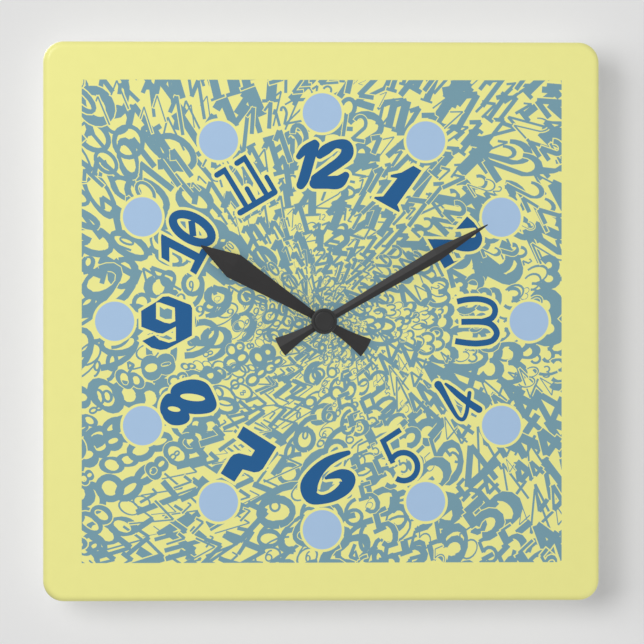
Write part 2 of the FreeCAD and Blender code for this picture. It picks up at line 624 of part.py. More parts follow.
def contact_spring():
    """Conical spring of half turns: each is a tilted half ring that starts where the last one ended."""
    base = -INNER_HALF + CONTACT_INSET + CONTACT_THICKNESS + SPRING_WIRE_RADIUS / 2
    halves = 2 * SPRING_TURNS
    joins = []
    for index in range(halves + 1):
        share = index / halves
        radius = (SPRING_BASE + (SPRING_TIP - SPRING_BASE) * share) * (-1) ** index
        joins.append(Vector(base + SPRING_RISE * share, CELL_Y + radius, CELL_Z))
    spring = []
    for index in range(halves):
        start, end = joins[index], joins[index + 1]
        heading = Vector(0, 0, (-1) ** index)
        section = Part.Face(Part.Wire(Part.makeCircle(SPRING_WIRE_RADIUS, start, heading)))
        spring.append(section.revolve((start + end) / 2, heading.cross(end - start), 180))
    return spring


def contacts():
    save("positive_contact", contact(1))
    save("negative_contact", contact(-1).fuse(contact_spring()))


# ---------------------------------------------------------------- hands

def hand_section(station, rear, slope):
    """Roof-shaped cross-section of a hand that points up: flat behind, ridged in front."""
    along, width = station
    half = width / 2
    edge = rear - HAND_EDGE
    outline = ((-half, rear), (-half, edge), (0, edge - slope * half), (half, edge), (half, rear))
    corners = [Vector(x, y, along) for x, y in outline]
    return Part.makePolygon(corners + corners[:1])


def hand(stations, rear, slope, bore, angle):
    blade = Part.makeLoft([hand_section(s, rear, slope) for s in stations], True, True)
    tail = Part.makeLoft([hand_section(s, rear, slope) for s in TAIL_STATIONS], True, True)
    tail = tail.common(disc(CENTRE, TAIL_RADIUS, rear - HAND_HUB_THICKNESS * 2, rear))
    hub_front = rear - HAND_HUB_THICKNESS
    shape = blade.fuse([tail, disc(CENTRE, HAND_HUB_RADIUS, hub_front, rear)])
    shape = shape.cut(disc(CENTRE, bore, rear - 2 * HAND_HUB_THICKNESS, rear))
    shape.rotate(Vector(0, 0, 0), Vector(0, 1, 0), angle)
    return shape


def hands():
    save("hour_hand", hand(HOUR_HAND_STATIONS, HOUR_HAND_REAR, HOUR_RIDGE_SLOPE,
                           HOUR_RADIUS, HOUR_HAND_ANGLE))
    save("minute_hand", hand(MINUTE_HAND_STATIONS, MINUTE_HAND_REAR, MINUTE_RIDGE_SLOPE,
                             MINUTE_RADIUS, MINUTE_HAND_ANGLE))


def hub_cap():
    rear = MINUTE_HAND_REAR - HAND_HUB_THICKNESS
    front = rear - CAP_THICKNESS
    cap = disc(CENTRE, CAP_RADIUS, front, rear)
    cap = cap.makeChamfer(CAP_CHAMFER, edges_at_y(cap, front))
    save("hub_cap", cap.cut(disc(CENTRE, MINUTE_RADIUS, MINUTE_TUBE_FRONT, rear)))


# ---------------------------------------------------------------- build

for build_piece in (face_plate, dial_print, washers, hex_nut, threaded_bushing, movement_case,
                    rear_cover, train_bridge, centre_wheel, third_wheel, second_wheel, intermediate_wheel,
                    rotor, minute_shaft, minute_works_wheel, hour_wheel, setting_stem, stator, coil,
                    circuit_board, battery, contacts, hands, hub_cap):
    build_piece()

os.makedirs("parts", exist_ok=True)
for node, shape in SHAPES.items():
    shape.exportStep("parts/" + node + ".step")
    print(node, shape.isValid(), len(shape.Solids), len(shape.Faces), round(shape.Volume, 1))
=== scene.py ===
"""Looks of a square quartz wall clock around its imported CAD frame.

The plate, hands, hardware and movement are the CAD nodes with procedural materials. The stepped hub cap
and the printed dial are built here. The dial is one thin sheet: hour numerals, dots and a collage of
numbers, each a flat region of its own colour. Flat drawing is done in millimetres about the hands'
shaft, with x to the right and z up, and lengths are in millimetres where no other unit is given.
"""

import json
import math
import random
from collections import namedtuple

import bmesh
import bpy
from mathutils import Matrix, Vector
from mathutils.geometry import delaunay_2d_cdt


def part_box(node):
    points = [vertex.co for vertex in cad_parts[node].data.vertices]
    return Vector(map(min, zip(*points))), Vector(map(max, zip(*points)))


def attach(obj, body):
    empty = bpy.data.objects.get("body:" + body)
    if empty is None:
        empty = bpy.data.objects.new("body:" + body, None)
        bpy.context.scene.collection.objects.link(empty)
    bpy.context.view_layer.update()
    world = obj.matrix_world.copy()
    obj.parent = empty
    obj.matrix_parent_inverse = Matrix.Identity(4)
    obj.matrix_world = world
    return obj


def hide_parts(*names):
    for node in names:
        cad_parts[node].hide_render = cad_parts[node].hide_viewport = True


# A millimetre in metres, and an hour on the dial in degrees
MM = 0.001
HOUR_TURN = 30

# Dial print: rings that the dots and numerals sit on, dot, light outlines, hours whose numbers stand
# upright because they are level with the shaft, and hole for the shaft
DOT_RING = 101.8
DOT_RADIUS = 9.6
DOT_OUTLINE = 1.3
DOT_STEPS = 72
NUMERAL_RING = 76.3
NUMERAL_OUTLINE = 1.4
LEVEL_HOURS = (3, 9)
HOLE_RADIUS = 5.0

# Hub cap: bore for the shaft, raised face as a share of the radius, step round it, groove and roundings.
# The face is dished; the dish's slope changes at a share of the face's radius and of the dish's depth.
CAP_BORE = 1.5
CAP_BORE_DEPTH = 0.5
CAP_FACE_SHARE = 0.76
CAP_STEP_DEPTH = 0.6
CAP_GROOVE = 0.25
CAP_DISH = 0.12
CAP_DISH_BEND = (0.6, 0.75)
CAP_ROUND = 0.45
CAP_ROUND_STEPS = 6
CAP_STEPS = 96
CAP_SMOOTH_ANGLE = 30

# Drawing of strokes: steps of a round end and of half a loop, degrees by which the halves of a loop
# overlap, and the smallest cosine taken for a mitre, so that sharp corners don't grow into spikes
ROUND_END_STEPS = 8
LOOP_STEPS = 19
LOOP_OVERLAP = 10
MITRE_LIMIT = 0.4

# Cutting the print into triangles: side of a tile, steps that count as nothing, the distance within which
# points are one point or lie on a tile's border, the angle that counts as flat, and what the cut returns
TILE_SIDE = 16.0
CUT_PRECISION = 1e-5
WELD = 1e-3
FLAT_ANGLE = 1
INSIDE_OUTLINES = 1

# Collage: numbers packed on rings about the shaft, from large to small. The usual height grows with the
# radius up to a reach; slots and steps between the rings are shares of the height.
COLLAGE_SEED = 12
COLLAGE_START = 5.5
INNER_HEIGHT = 3.3
HEIGHT_GROWTH = 0.119
GROWTH_REACH = 80.0
SLOT_WIDTH = 0.7
RING_STEP = 0.8

# Packing: cells of the grid of taken places, free gap and light halo, all as shares of the radius; core
# that keeps the cells at the centre finite; share of the numbers that have a halo; radius at which twice
# as much overlap is allowed as at the centre
CELL = 0.018
GAP = 0.002
HALO = 0.004
CORE = 0.1
HALO_SHARE = 0.3
CROWDING_REACH = 165.0

# Random spread of one number: place in heights and slots, height, turn in degrees, stretch and slant
PLACE_SPREAD = 0.5
HEIGHT_SPREAD = (0.8, 1.2)
TURN_SPREAD = 8
STRETCH_SPREAD = (0.85, 1.25)
SLANT_SPREAD = (-0.05, 0.12)

# Collage digits, as shares of their height: width, space between digits in stroke widths, how far a serif
# stands out, and the greatest lean of a stroke that gets a serif
DIGIT_WIDTH = 0.6
DIGIT_SPACE = 0.9
SERIF_REACH = 0.10
SERIF_LEAN = 0.3

# Pens: thick and thin stroke as shares of the height, nib angle in degrees, slant, stretch, steps of a
# quarter turn, and whether upright strokes have serifs
Pen = namedtuple("Pen", "thick thin nib slant stretch steps serif")
PENS = {
    "monoline": Pen(0.15, 0.15, 0, 0.0, 1.0, 5, False),
    "heavy": Pen(0.29, 0.25, 0, 0.0, 1.15, 5, False),
    "poster": Pen(0.28, 0.09, 0, 0.0, 1.1, 5, True),
    "brush": Pen(0.25, 0.09, 40, 0.30, 1.0, 5, False),
    "script": Pen(0.19, 0.08, 55, 0.42, 1.0, 5, False),
    "block": Pen(0.22, 0.20, 0, 0.0, 0.95, 1, False),
    "slab": Pen(0.17, 0.12, 0, 0.0, 0.85, 4, True),
    "wide": Pen(0.14, 0.19, 0, 0.1, 1.45, 5, False),
    "narrow": Pen(0.16, 0.13, 0, 0.0, 0.6, 4, False),
    "fine": Pen(0.075, 0.045, 50, 0.32, 1.1, 6, False),
}
BOLD_PENS = ("heavy", "poster", "poster", "brush", "script", "wide", "slab", "monoline", "monoline",
             "narrow", "fine", "fine")
LIGHT_PENS = ("monoline", "monoline", "slab", "brush", "heavy", "poster", "wide", "block", "narrow", "fine")

# Layers of the collage: height as a share of the usual one, share that may cover others, and pens
LAYERS = (
    (1.5, 0.2, BOLD_PENS),
    (1.15, 0.42, BOLD_PENS),
    (0.95, 0.46, BOLD_PENS),
    (0.75, 0.46, BOLD_PENS),
    (0.6, 0.44, LIGHT_PENS),
    (0.5, 0.42, LIGHT_PENS),
    (0.4, 0.36, LIGHT_PENS),
    (0.36, 0.3, LIGHT_PENS),
)

# Print colours, as sRGB from 0 to 255, by their material index on the printed sheet
GROUND, INK, NUMERAL, DOT = range(4)
INKS = {
    "print_yellow": (236, 233, 146),
    "print_teal": (116, 155, 169),
    "print_navy": (25, 90, 144),
    "print_sky": (166, 194, 224),
}

# Finish that the inks and the printed acrylic share, with the darkest and lightest share of their colour
PRINT_ROUGHNESS = 0.45
PRINT_COAT = {"Coat_Weight": 0.15, "Coat_Roughness": 0.12, "Specular_IOR_Level": 0.25}
PRINT_MOTTLE = (0.975, 1.015)

# Acrylic plate: its colour at shares of its thickness, from the printed front to the white back
# The pale edge is partly the clear acrylic's own tint and partly a painted highlight along the rim
PALE_EDGE_AND_HIGHLIGHT = (240, 238, 196)
WHITE_BACK = (236, 236, 230)
ACRYLIC_BANDS = (
    (0.46, INKS["print_yellow"]),
    (0.52, PALE_EDGE_AND_HIGHLIGHT),
    (0.985, PALE_EDGE_AND_HIGHLIGHT),
    (0.995, WHITE_BACK),
)

# Battery wrap, in metres: where along X its two tones meet, and how wide the edge between them is
WRAP_SPLIT = 0.012
WRAP_EDGE = 0.0002

# Camera: a long lens a little to the left of the dial's axis, aimed close to the hands' shaft. The angle
# is in degrees, the distance in metres; frame width, aim (right, up) and sensor are in millimetres.
CAMERA_AZIMUTH = -6.25
CAMERA_DISTANCE = 6.0
FRAME_WIDTH = 314.5
CAMERA_AIM = (-0.1, -0.35)
SENSOR = 36.0

# Stage and lights, in metres and watts. The wall stands just clear of the clock's back.
STAGE_REACH = 2.5
FLOOR_HEIGHT = -0.75
WALL_GAP = 0.0006
WALL_COLOUR = (236, 236, 236)
WIDE_KEY = {"position": (-11.0, -10.0, 2.7), "size": 10.0, "watts": 890.0}
SOFT_KEY = {"position": (-6.0, -11.0, 3.3), "size": 7.0, "watts": 375.0}
FRONT = {"position": (-0.75, -1.3, 0.72), "size": 0.9, "watts": 16.0}
RIM = {"position": (1.9, -0.9, -1.7), "size": 1.4, "watts": 20.0}
BACK_FILL = {"position": (-1.0, 1.8, 1.0), "size": 1.2, "watts": 34.0}
WORLD_GREY = 0.9
WORLD_STRENGTH = 0.52

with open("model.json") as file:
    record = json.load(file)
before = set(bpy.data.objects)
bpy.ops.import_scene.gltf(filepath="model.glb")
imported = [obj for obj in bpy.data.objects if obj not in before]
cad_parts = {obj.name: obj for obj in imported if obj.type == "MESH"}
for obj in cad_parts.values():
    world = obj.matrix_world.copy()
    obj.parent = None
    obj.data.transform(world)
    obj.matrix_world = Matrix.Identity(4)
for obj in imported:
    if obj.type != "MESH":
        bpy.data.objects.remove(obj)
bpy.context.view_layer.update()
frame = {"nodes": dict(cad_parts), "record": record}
PRINT_LOW, PRINT_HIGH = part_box("dial_print")
SHAFT = Vector(((PRINT_LOW.x + PRINT_HIGH.x) / 2, 0.0, (PRINT_LOW.z + PRINT_HIGH.z) / 2))
PRINT_HALF = (PRINT_HIGH.x - PRINT_LOW.x) / 2 / MM


# ---------------------------------------------------------------- flat drawing

def arc(centre, radii, start, end, steps):
    """Points of an ellipse arc, from one angle to another in degrees."""
    angles = [math.radians(start + (end - start) * i / steps) for i in range(steps + 1)]
    return [(centre[0] + radii[0] * math.cos(a), centre[1] + radii[1] * math.sin(a)) for a in angles]


def halves(centre, radii, steps):
    """Ellipse as two arcs whose ends overlap a little, for a closed stroke."""
    return [arc(centre, radii, start, start + 180 + LOOP_OVERLAP, steps) for start in (90, 270)]


def ellipse(centre, radii, clockwise=0.0, steps=48):
    """Closed outline of an ellipse, turned clockwise by an angle in degrees."""
    points = arc((0.0, 0.0), radii, 0, 360, steps)[:-1]
    return place(points, centre, clockwise)


def place(points, centre, clockwise):
    """Turn points clockwise by an angle in degrees, then move them to a centre; a width stays as it is."""
    c, s = math.cos(math.radians(clockwise)), math.sin(math.radians(clockwise))
    return [(centre[0] + x * c + z * s, centre[1] - x * s + z * c, *width) for x, z, *width in points]


def signed_area(points):
    """Area of a polygon, below zero if its points run clockwise."""
    return sum(a[0] * b[1] - b[0] * a[1] for a, b in zip(points, points[1:] + points[:1])) / 2


def counter_clockwise(points):
    """The same polygon with its points running counter-clockwise."""
    return points if signed_area(points) > 0 else points[::-1]


def catmull_rom(a, b, c, d, t):
    """Point on the smooth curve from b to c, with a before and d after."""
    point = []
    for p, q, r, s in zip(a, b, c, d):
        slope = (r - p) * t
        square = (2 * p - 5 * q + 4 * r - s) * t ** 2
        cube = (3 * q - p - 3 * r + s) * t ** 3
        point.append(0.5 * (2 * q + slope + square + cube))
    return tuple(point)


def smooth_path(knots, steps=6):
    """Smooth open curve through (x, z, width) knots."""
    padded = [knots[0]] + list(knots) + [knots[-1]]
    spans = zip(padded, padded[1:], padded[2:], padded[3:])
    points = [catmull_rom(*span, index / steps) for span in spans for index in range(steps)]
    return points + [tuple(knots[-1])]


def smooth_loop(knots, steps=6):
    """Smooth closed curve through (x, z) knots."""
    knots = list(knots)
    spans = zip(knots[-1:] + knots[:-1], knots, knots[1:] + knots[:1], knots[2:] + knots[:2])
    return [catmull_rom(*span, index / steps) for span in spans for index in range(steps)]


def headings(path):
    """Unit direction of a path at each of its points."""
    result = []
    for index in range(len(path)):
        before, after = path[max(index - 1, 0)], path[min(index + 1, len(path) - 1)]
        dx, dz = after[0] - before[0], after[1] - before[1]
        length = math.hypot(dx, dz) or 1.0
        result.append((dx / length, dz / length))
    return result


def band(path, grow=0.0, rounded=False):
    """Outline of a stroke along (x, z, width) points, widened and lengthened by grow on every side."""
    directions = headings(path)
    left, right = [], []
    for index, ((x, z, width), (dx, dz)) in enumerate(zip(path, directions)):
        half = width / 2 + grow
        shift = 0.0 if rounded else grow * ((index == len(path) - 1) - (index == 0))
        x, z = x + dx * shift, z + dz * shift
        left.append((x - dz * half, z + dx * half))
        right.append((x + dz * half, z - dx * half))
    caps = ([], [])
    if rounded:
        caps = (round_cap(path[-1], directions[-1], grow, 1), round_cap(path[0], directions[0], grow, -1))
    return counter_clockwise(left + caps[0] + right[::-1] + caps[1])


def round_cap(knot, direction, grow, way):
    """Half circle at a stroke's end, from its left side to its right, or back again at its start."""
    x, z, width = knot
    base = math.degrees(math.atan2(direction[1], direction[0]))
    first = base + 90 * way
    return arc((x, z), (width / 2 + grow,) * 2, first, first - 180, ROUND_END_STEPS)[1:-1]


# ---------------------------------------------------------------- digits of the collage

def digit_strokes(digit, steps):
    """Centre lines of one digit in a box 0.6 wide and 1 high; steps sets how round its curves are."""
    if digit == "0":
        return halves((0.3, 0.5), (0.28, 0.5), 2 * steps)
    if digit == "1":
        return [[(0.06, 0.74), (0.36, 1.0)], [(0.36, 1.0), (0.36, 0.0)]]
    if digit == "2":
        bowl = arc((0.29, 0.70), (0.26, 0.30), 160, -30, 2 * steps)
        return [bowl + [(0.02, 0.0)], [(0.02, 0.0), (0.60, 0.0)]]
    if digit == "3":
        return [arc((0.27, 0.75), (0.25, 0.25), 150, -90, 2 * steps),
                arc((0.27, 0.26), (0.30, 0.26), 90, -150, 2 * steps)]
    if digit == "4":
        return [[(0.42, 1.0), (0.0, 0.30)], [(0.0, 0.30), (0.62, 0.30)], [(0.42, 1.0), (0.42, 0.0)]]
    if digit == "5":
        return [[(0.54, 1.0), (0.12, 1.0)], [(0.12, 1.0), (0.07, 0.52)],
                arc((0.28, 0.31), (0.30, 0.31), 132, -150, 2 * steps)]
    if digit == "6":
        stem = arc((0.58, 0.32), (0.55, 0.68), 95, 180, steps)
        return [stem + arc((0.31, 0.30), (0.28, 0.30), 180, 300, steps),
                arc((0.31, 0.30), (0.28, 0.30), -60, 180, 2 * steps)]
    if digit == "7":
        return [[(0.02, 1.0), (0.58, 1.0)], [(0.58, 1.0), (0.20, 0.0)]]
    if digit == "8":
        return halves((0.3, 0.76), (0.22, 0.24), 2 * steps) + halves((0.3, 0.27), (0.29, 0.27), 2 * steps)
    return [[(DIGIT_WIDTH - x, 1.0 - z) for x, z in stroke] for stroke in digit_strokes("6", steps)]


def nib_stroke(line, pen, height):
    """Line with the width that a pen's nib gives it in each direction."""
    path = []
    for (x, z), (dx, dz) in zip(line, headings(line)):
        share = abs(math.sin(math.atan2(dz, dx) - math.radians(pen.nib)))
        path.append((x, z, (pen.thin + (pen.thick - pen.thin) * share) * height))
    return path


def serif_stroke(foot, pen, height):
    """Level stroke across the foot of an upright one."""
    half = (pen.thick / 2 + SERIF_REACH) * height
    return [(foot[0] - half, foot[1], pen.thin * height), (foot[0] + half, foot[1], pen.thin * height)]


def glyph(text, height, pen, chance):
    """Strokes of a number drawn with one pen, about its own centre."""
    stretch = pen.stretch * chance.uniform(*STRETCH_SPREAD)
    slant = pen.slant + chance.uniform(*SLANT_SPREAD)
    advance = (DIGIT_WIDTH * stretch + pen.thick * DIGIT_SPACE) * height
    paths = []
    for position, digit in enumerate(text):
        offset = (position - (len(text) - 1) / 2) * advance
        for stroke in digit_strokes(digit, pen.steps):
            line = [(offset + ((x - DIGIT_WIDTH / 2) * stretch + (z - 0.5) * slant) * height,
                     (z - 0.5) * height) for x, z in stroke]
            paths.append(nib_stroke(line, pen, height))
            straight = len(line) == 2 and abs(line[1][0] - line[0][0]) < SERIF_LEAN * height
            if pen.serif and straight:
                paths.append(serif_stroke(line[1], pen, height))
    return paths


def upright_angle(hour):
    """Clockwise turn of a number at an hour: its top points out above the centre and in below it."""
    if hour in LEVEL_HOURS:
        return 0.0
    angle = hour * HOUR_TURN % 360
    if 90 < angle < 270:
        return angle - 180
    return angle if angle <= 90 else angle - 360


def cell_at(x, z):
    """Cell of a polar grid whose cells grow with the radius."""
    return round(math.log(math.hypot(x, z) + CORE) / CELL), round(math.atan2(x, z) / CELL)


def covered(path, margin):
    """Cells under a stroke widened by a margin."""
    cells = set()
    for (xa, za, wa), (xb, zb, wb) in zip(path, path[1:]):
        length = math.hypot(xb - xa, zb - za) or 1.0
        pitch = CELL * max(math.hypot(xa, za), COLLAGE_START)
        along = math.ceil(length / pitch)
        for i in range(along + 1):
            t = i / along
            half = (wa + (wb - wa) * t) / 2 + margin
            across = math.ceil(half / pitch)
            for j in range(-across, across + 1):
                side = half * j / across / length
                x = xa + (xb - xa) * t - (zb - za) * side
                z = za + (zb - za) * t + (xb - xa) * side
                cells.add(cell_at(x, z))
    return cells


def usual_height(radius):
    """Height of a number at a radius before the layer's share and the random spread."""
    return INNER_HEIGHT + HEIGHT_GROWTH * min(radius, GROWTH_REACH)


def collage():
    """Printed (colour, outline) shapes of the collage: large numbers first, small ones between them."""
    chance = random.Random(COLLAGE_SEED)
    taken = set()
    shapes = []
    for share, overlap, pens in LAYERS:
        radius = COLLAGE_START
        while radius < PRINT_HALF * math.sqrt(2):
            height = usual_height(radius) * share
            slots = math.ceil(2 * math.pi * radius / (SLOT_WIDTH * height))
            for index in range(slots):
                distance = radius + chance.uniform(-PLACE_SPREAD, PLACE_SPREAD) * height
                degrees = 360 * (index + chance.uniform(-PLACE_SPREAD, PLACE_SPREAD)) / slots
                shapes += printed_number(distance, degrees, height, overlap, pens, taken, chance)
            radius += height * RING_STEP
    return shapes


def printed_number(radius, degrees, height, overlap, pens, taken, chance):
    """Shapes of one number at a place, or none if too much of it would cover others."""
    nearest = round(degrees / HOUR_TURN)
    hour = nearest % 12
    height *= chance.uniform(*HEIGHT_SPREAD)
    lean = 0.0 if hour in LEVEL_HOURS else degrees - HOUR_TURN * nearest
    turn = upright_angle(hour) + lean + chance.uniform(-TURN_SPREAD, TURN_SPREAD)
    paths = glyph(str(hour or 12), height, PENS[chance.choice(pens)], chance)
    halo = chance.random() < HALO_SHARE
    angle = math.radians(degrees)
    centre = (radius * math.sin(angle), radius * math.cos(angle))
    if max(abs(centre[0]), abs(centre[1])) > PRINT_HALF + height / 2:
        return []
    paths = [place(path, centre, turn) for path in paths]
    cells = set().union(*(covered(path, GAP * radius) for path in paths))
    if len(cells & taken) > overlap * (1 + radius / CROWDING_REACH) * len(cells):
        return []
    taken |= cells
    under = [(GROUND, band(path, grow=HALO * radius)) for path in paths] if halo else []
    return under + [(INK, band(path)) for path in paths]


# ---------------------------------------------------------------- hour numerals

def brush(*knots):
    """Round-ended stroke through (x, z, width) knots."""
    return (NUMERAL, "round", smooth_path(knots))


def marker(width, *points):
    """Square-ended stroke of even width along a smooth curve."""
    return (NUMERAL, "square", smooth_path([(x, z, width) for x, z in points]))


def bar(*knots):
    """Square-ended straight strokes."""
    return (NUMERAL, "square", list(knots))


def ring(centre, radii, width):
    """Closed elliptical stroke."""
    loop = halves(centre, radii, LOOP_STEPS)
    return [(NUMERAL, "square", [(x, z, width) for x, z in half]) for half in loop]


def rod(width, *points):
    """Round-ended straight stroke of even width."""
    return (NUMERAL, "round", [(x, z, width) for x, z in points])


def area(*points):
    """Filled polygon."""
    return (NUMERAL, "area", list(points))


def soft_area(*points):
    """Filled smooth loop."""
    return (NUMERAL, "area", smooth_loop(points))


def opening(points):
    """Part of a numeral where the ground shows through."""
    return (GROUND, "area", points)


def chip(*points):
    """Piece of the collage seen inside a numeral."""
    return (INK, "area", list(points))


# Each hour's numeral in millimetres, upright about its own centre. Each has a style of its own: brush,
# slab serif, blade, rounded line, thin brush, even line, brush, block, bubble, gothic, slashed, hooked.
NUMERALS = {
    12: [brush((-12.6, 4.1, 3.0), (-9.4, 7.5, 4.4), (-4.9, 10.5, 3.8)),
         brush((-4.6, 9.8, 4.4), (-7.1, 3.8, 5.3), (-10.0, -6.2, 5.3), (-11.7, -9.8, 4.4)),
         brush((-2.4, 4.9, 4.0), (0.6, 7.4, 5.2), (5.4, 10.1, 4.2), (10.2, 9.4, 6.0), (11.0, 5.4, 6.2),
               (7.4, 1.5, 5.2), (2.2, -2.1, 4.8), (-4.6, -6.8, 4.4)),
         brush((-4.8, -9.0, 5.4), (1.0, -8.6, 6.2), (6.8, -8.3, 6.6), (10.3, -5.2, 3.8))],
    1: [area((0.8, 13.8), (5.5, 13.8), (3.5, -6.6), (6.1, -8.6), (6.0, -9.4), (-8.0, -9.7), (-8.0, -8.8),
             (-4.6, -6.6), (-3.0, 4.6), (-6.1, 3.3), (-6.6, 4.4), (-2.6, 8.0))],
    2: [area((-7.7, 11.6), (-5.0, 3.7), (-1.0, 12.2), (1.0, 13.5), (-3.6, 13.0)),
        brush((0.4, 12.6, 1.4), (4.2, 11.2, 3.8), (5.4, 7.6, 6.4), (3.6, 2.6, 5.6), (-1.0, -3.0, 3.6),
              (-5.4, -8.4, 1.8)),
        area((-7.9, -10.8), (8.8, -10.8), (8.8, -2.8), (8.1, -5.1), (1.6, -5.2), (-1.8, -1.6))],
    3: [marker(2.9, (-10.0, 9.7), (-4.6, 10.8), (2.0, 10.8), (7.2, 8.8), (8.8, 5.2), (7.0, 1.6),
               (2.0, -0.2)),
        marker(3.0, (-7.9, -0.2), (2.0, -0.2), (7.0, -1.6), (9.6, -5.6), (7.2, -9.4), (1.0, -10.7),
               (-5.0, -10.5), (-10.9, -9.6))],
    4: [brush((2.0, 12.6, 4.0), (0.6, 9.6, 3.3), (-1.9, 5.4, 2.8), (-4.6, 1.0, 2.3), (-7.0, -3.8, 1.9),
              (-6.4, -6.4, 2.0), (-3.0, -6.3, 2.0), (1.6, -4.6, 2.0), (6.3, -2.7, 2.0)),
        brush((4.2, 9.6, 1.4), (3.5, 5.4, 2.6), (2.6, 0.6, 3.1), (1.9, -5.0, 3.3), (1.6, -10.8, 3.5))],
    5: [bar((-4.6, 10.4, 2.7), (6.8, 11.0, 2.7)), bar((-3.4, 11.6, 2.6), (-4.6, -1.3, 2.6)),
        (NUMERAL, "square", [(x, z, 2.8) for x, z in arc((-0.9, -5.4), (6.8, 6.9), 130, -153, 24)])],
    6: [brush((10.4, 12.0, 2.4), (5.2, 10.2, 3.6), (-0.4, 7.2, 5.0), (-5.6, 2.2, 6.8), (-8.9, -4.0, 8.6),
              (-7.6, -9.4, 7.2), (-2.6, -10.8, 4.6), (3.6, -9.0, 5.2), (8.8, -5.0, 6.6), (10.2, -0.6, 7.4),
              (7.0, 1.6, 5.0), (2.0, 0.7, 3.0), (-0.5, -0.3, 1.6)),
        chip((-2.7, -2.8), (-0.6, -3.8), (3.8, -3.4), (0.6, -5.8), (-2.6, -6.8))],
    7: [area((-9.0, 4.4), (-9.0, 10.6), (10.2, 10.0), (9.8, -2.6), (8.8, -4.8), (6.9, -6.3), (1.3, -7.8),
             (0.8, -15.1), (-7.1, -14.9), (-6.9, -6.0), (-6.2, -3.7), (-4.2, -1.8), (1.7, -0.1),
             (1.8, 3.2))],
    8: [soft_area((-10.8, -0.4), (-8.9, 7.4), (-4.0, 12.6), (2.0, 13.1), (8.4, 11.6), (9.6, 6.6),
                  (4.8, -2.2), (-2.0, -5.4), (-8.6, -4.8)),
        soft_area((-7.9, -4.8), (-8.2, -9.0), (-4.6, -13.0), (0.4, -14.1), (5.4, -12.2), (8.2, -7.0),
                  (7.0, -2.8), (0.0, -1.8)),
        opening(ellipse((-1.0, 3.4), (1.7, 6.1), 37)), opening(ellipse((-0.6, -7.3), (1.2, 3.1), 40))],
    9: [area((-12.2, 5.9), (-4.4, 10.6), (-1.6, 12.8), (1.2, 13.0), (12.0, 8.8), (12.8, 7.2), (12.7, -6.2),
             (0.4, -12.8), (-2.8, -13.2), (-7.0, -12.2), (-11.7, -8.8), (-5.8, -6.0), (-3.4, -8.2),
             (1.4, -9.7), (4.8, -8.6), (4.8, -1.8), (-1.6, -5.2), (-4.4, -4.9), (-12.1, -1.9)),
        opening([(-4.9, 9.9), (-3.2, 10.0), (4.3, 7.4), (4.5, 0.9), (1.8, -0.3), (-0.8, 0.2), (-4.9, 2.0)]),
        chip((-3.1, 8.0), (-0.9, 6.5), (0.6, 7.2), (3.0, 6.2), (2.8, 2.0), (-0.4, 1.9), (-3.1, 3.2))],
    10: [area((-14.0, 7.1), (-14.0, 2.6), (-7.7, 6.3), (-7.0, -7.6), (-12.6, -8.2), (-12.7, -11.7),
              (-0.2, -11.4), (-0.2, -7.6), (-3.0, -7.8), (-3.9, 12.9), (-5.4, 12.4))]
        + ring((5.9, 1.2), (5.35, 10.5), 4.2) + [bar((2.8, -1.1, 3.3), (9.0, 3.4, 3.3))],
    11: [rod(2.8, (-9.5, 11.6), (-5.4, 11.7)), bar((-5.2, 13.1, 2.5), (-4.7, -9.0, 2.5)),
         rod(2.8, (1.9, 11.7), (6.0, 11.9)), bar((6.3, 13.3, 2.5), (6.8, -9.0, 2.5)),
         rod(2.4, (-0.1, -1.5), (-0.1, -9.0)), rod(2.3, (11.1, -1.4), (11.1, -9.8)),
         rod(3.0, (-8.8, -10.0), (10.8, -9.8))],
}

# Places of the numerals that don't sit exactly on the ring: to the right, and up
NUMERAL_SHIFTS = {12: (1.3, 0.4), 1: (-1.0, -1.4), 2: (-0.8, 0.4), 4: (0.9, -0.9), 5: (0.1, 0.5),
                  6: (2.8, 0.0), 7: (2.0, 1.3), 8: (0.4, -1.4), 9: (0.0, -0.9), 10: (0.4, 0.4),
                  11: (0.7, 0.4)}


def grown_area(points, distance):
    """Polygon with every side moved outwards."""
    points = counter_clockwise(points)
    moved = []
    for before, here, after in zip(points[-1:] + points[:-1], points, points[1:] + points[:1]):
        a = (Vector(here) - Vector(before)).normalized()
        b = (Vector(after) - Vector(here)).normalized()
        normal = Vector((a.y + b.y, -a.x - b.x)).normalized()
        reach = distance / max(MITRE_LIMIT, normal.dot(Vector((a.y, -a.x))))
        moved.append(tuple(Vector(here) + normal * reach))
    return moved


def outline(kind, points, grow):
    """Polygon of a piece of a numeral, grown on every side."""
    return grown_area(points, grow) if kind == "area" else band(points, grow, kind == "round")


def numeral(hour):
    """Shapes of one hour's numeral over its light outline, centred by its own box on the numeral ring."""
    turn = upright_angle(hour)
    pieces = [(colour, kind, place(points, (0.0, 0.0), turn)) for colour, kind, points in NUMERALS[hour]]
    inks = [outline(kind, points, 0.0) for colour, kind, points in pieces if colour == NUMERAL]
    xs = [x for points in inks for x, z in points]
    zs = [z for points in inks for x, z in points]
    angle = math.radians(hour * HOUR_TURN)
    right, up = NUMERAL_SHIFTS.get(hour, (0.0, 0.0))
    centre = (NUMERAL_RING * math.sin(angle) + right - (min(xs) + max(xs)) / 2,
              NUMERAL_RING * math.cos(angle) + up - (min(zs) + max(zs)) / 2)
    shapes = [(GROUND, outline(kind, points, NUMERAL_OUTLINE)) for colour, kind, points in pieces
              if colour == NUMERAL]
    shapes += [(colour, outline(kind, points, 0.0)) for colour, kind, points in pieces]
    return [(colour, place(points, centre, 0.0)) for colour, points in shapes]


def dots():
    """Shapes of the twelve hour dots, each over its light outline."""
    shapes = []
    for hour in range(12):
        angle = math.radians(hour * HOUR_TURN)
        centre = (DOT_RING * math.sin(angle), DOT_RING * math.cos(angle))
        shapes.append((GROUND, ellipse(centre, (DOT_RADIUS + DOT_OUTLINE,) * 2, steps=DOT_STEPS)))
        shapes.append((DOT, ellipse(centre, (DOT_RADIUS,) * 2, steps=DOT_STEPS)))
    return shapes


